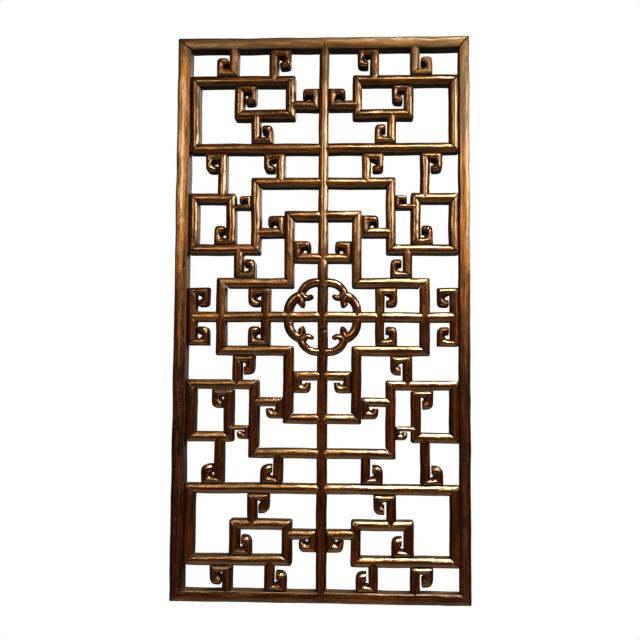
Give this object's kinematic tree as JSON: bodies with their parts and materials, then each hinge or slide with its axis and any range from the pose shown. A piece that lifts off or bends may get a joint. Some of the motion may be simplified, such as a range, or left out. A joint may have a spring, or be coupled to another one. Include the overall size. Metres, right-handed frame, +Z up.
{
  "type": "lattice panel",
  "caption": "Upright wooden window lattice: moulded strips in a mitred frame form stepped frets with scroll hooks around a lobed ring at the centre",
  "frame": {"origin": "on the flat back of the top rail, halfway up the rail and straight above the mullion, where the panel is fixed", "axes": "+X to the right as seen from the front, +Y out of the flat back towards the wall, +Z up"},
  "size_m": [0.5001, 0.033, 0.9572],
  "materials": {
    "frame_wood": "old honey-brown varnish worn pale on the face, waxed to a soft gloss",
    "strip_wood": "old golden-brown varnish, glossy and worn bright on the rounds, nearly black in the corners",
    "carved_wood": "old reddish-brown varnish, glossy on the crests, nearly black inside the curls"
  },
  "bodies": {
    "root": {"top_rail": "frame_wood", "bottom_rail": "frame_wood", "left_stile": "frame_wood", "right_stile": "frame_wood", "mullion": "strip_wood", "centre_bar": "strip_wood", "upper_crossbar": "strip_wood", "lower_crossbar": "strip_wood", "upper_yoke_bar": "strip_wood", "lower_yoke_bar": "strip_wood", "upper_step_bar": "strip_wood", "lower_step_bar": "strip_wood", "left_loop_post": "strip_wood", "right_loop_post": "strip_wood", "left_end_scroll": "carved_wood", "right_end_scroll": "carved_wood", "left_inner_scroll": "carved_wood", "right_inner_scroll": "carved_wood", "ring": "carved_wood", "upper_left_corner_post": "strip_wood", "upper_left_corner_head": "strip_wood", "upper_left_corner_drop": "strip_wood", "upper_left_corner_return": "strip_wood", "upper_left_side_drop": "strip_wood", "upper_left_side_sill": "strip_wood", "upper_left_side_post": "strip_wood", "upper_left_side_shelf": "strip_wood", "upper_left_side_scroll": "carved_wood", "upper_left_step": "strip_wood", "upper_right_corner_post": "strip_wood", "upper_right_corner_head": "strip_wood", "upper_right_corner_drop": "strip_wood", "upper_right_corner_return": "strip_wood", "upper_right_side_drop": "strip_wood", "upper_right_side_sill": "strip_wood", "upper_right_side_post": "strip_wood", "upper_right_side_shelf": "strip_wood", "upper_right_side_scroll": "carved_wood", "upper_right_step": "strip_wood", "lower_left_corner_post": "strip_wood", "lower_left_corner_head": "strip_wood", "lower_left_corner_drop": "strip_wood", "lower_left_corner_return": "strip_wood", "lower_left_side_drop": "strip_wood", "lower_left_side_sill": "strip_wood", "lower_left_side_post": "strip_wood", "lower_left_side_shelf": "strip_wood", "lower_left_side_scroll": "carved_wood", "lower_left_step": "strip_wood", "lower_right_corner_post": "strip_wood", "lower_right_corner_head": "strip_wood", "lower_right_corner_drop": "strip_wood", "lower_right_corner_return": "strip_wood", "lower_right_side_drop": "strip_wood", "lower_right_side_sill": "strip_wood", "lower_right_side_post": "strip_wood", "lower_right_side_shelf": "strip_wood", "lower_right_side_scroll": "carved_wood", "lower_right_step": "strip_wood"}
  },
  "joints": []
}
